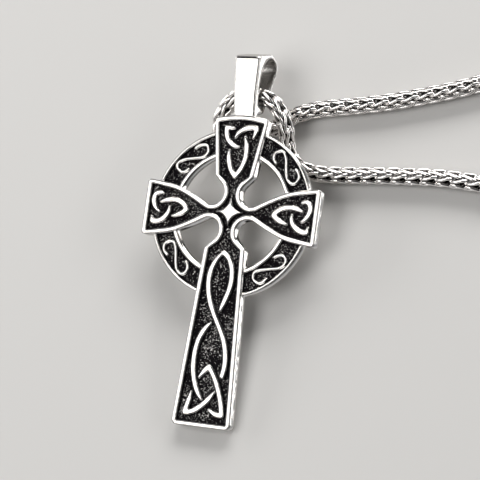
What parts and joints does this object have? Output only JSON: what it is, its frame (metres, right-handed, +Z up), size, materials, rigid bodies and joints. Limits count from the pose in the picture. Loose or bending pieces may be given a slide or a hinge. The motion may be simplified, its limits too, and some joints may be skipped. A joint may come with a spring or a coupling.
{
  "type": "cross pendant necklace",
  "caption": "Ringed Celtic cross pendant with raised knots and a loop bail, threaded on a closed wheat chain with a clasp.",
  "frame": {"origin": "on the surface that the necklace lies on, under the middle of its bounding box", "axes": "+X from the pendant towards the clasp, +Y from the cross's foot towards its bail, +Z up, out of the surface"},
  "size_m": [0.2508, 0.1074, 0.0109],
  "materials": {
    "blackened_steel": "polished relief on a blackened, grained ground",
    "chain_steel": "polished",
    "fitting_steel": "polished"
  },
  "bodies": {
    "root": {"cross_pendant": "blackened_steel", "chain": "chain_steel", "clasp_ring": "fitting_steel", "clasp": "fitting_steel", "catch_ring": "fitting_steel"}
  },
  "joints": []
}
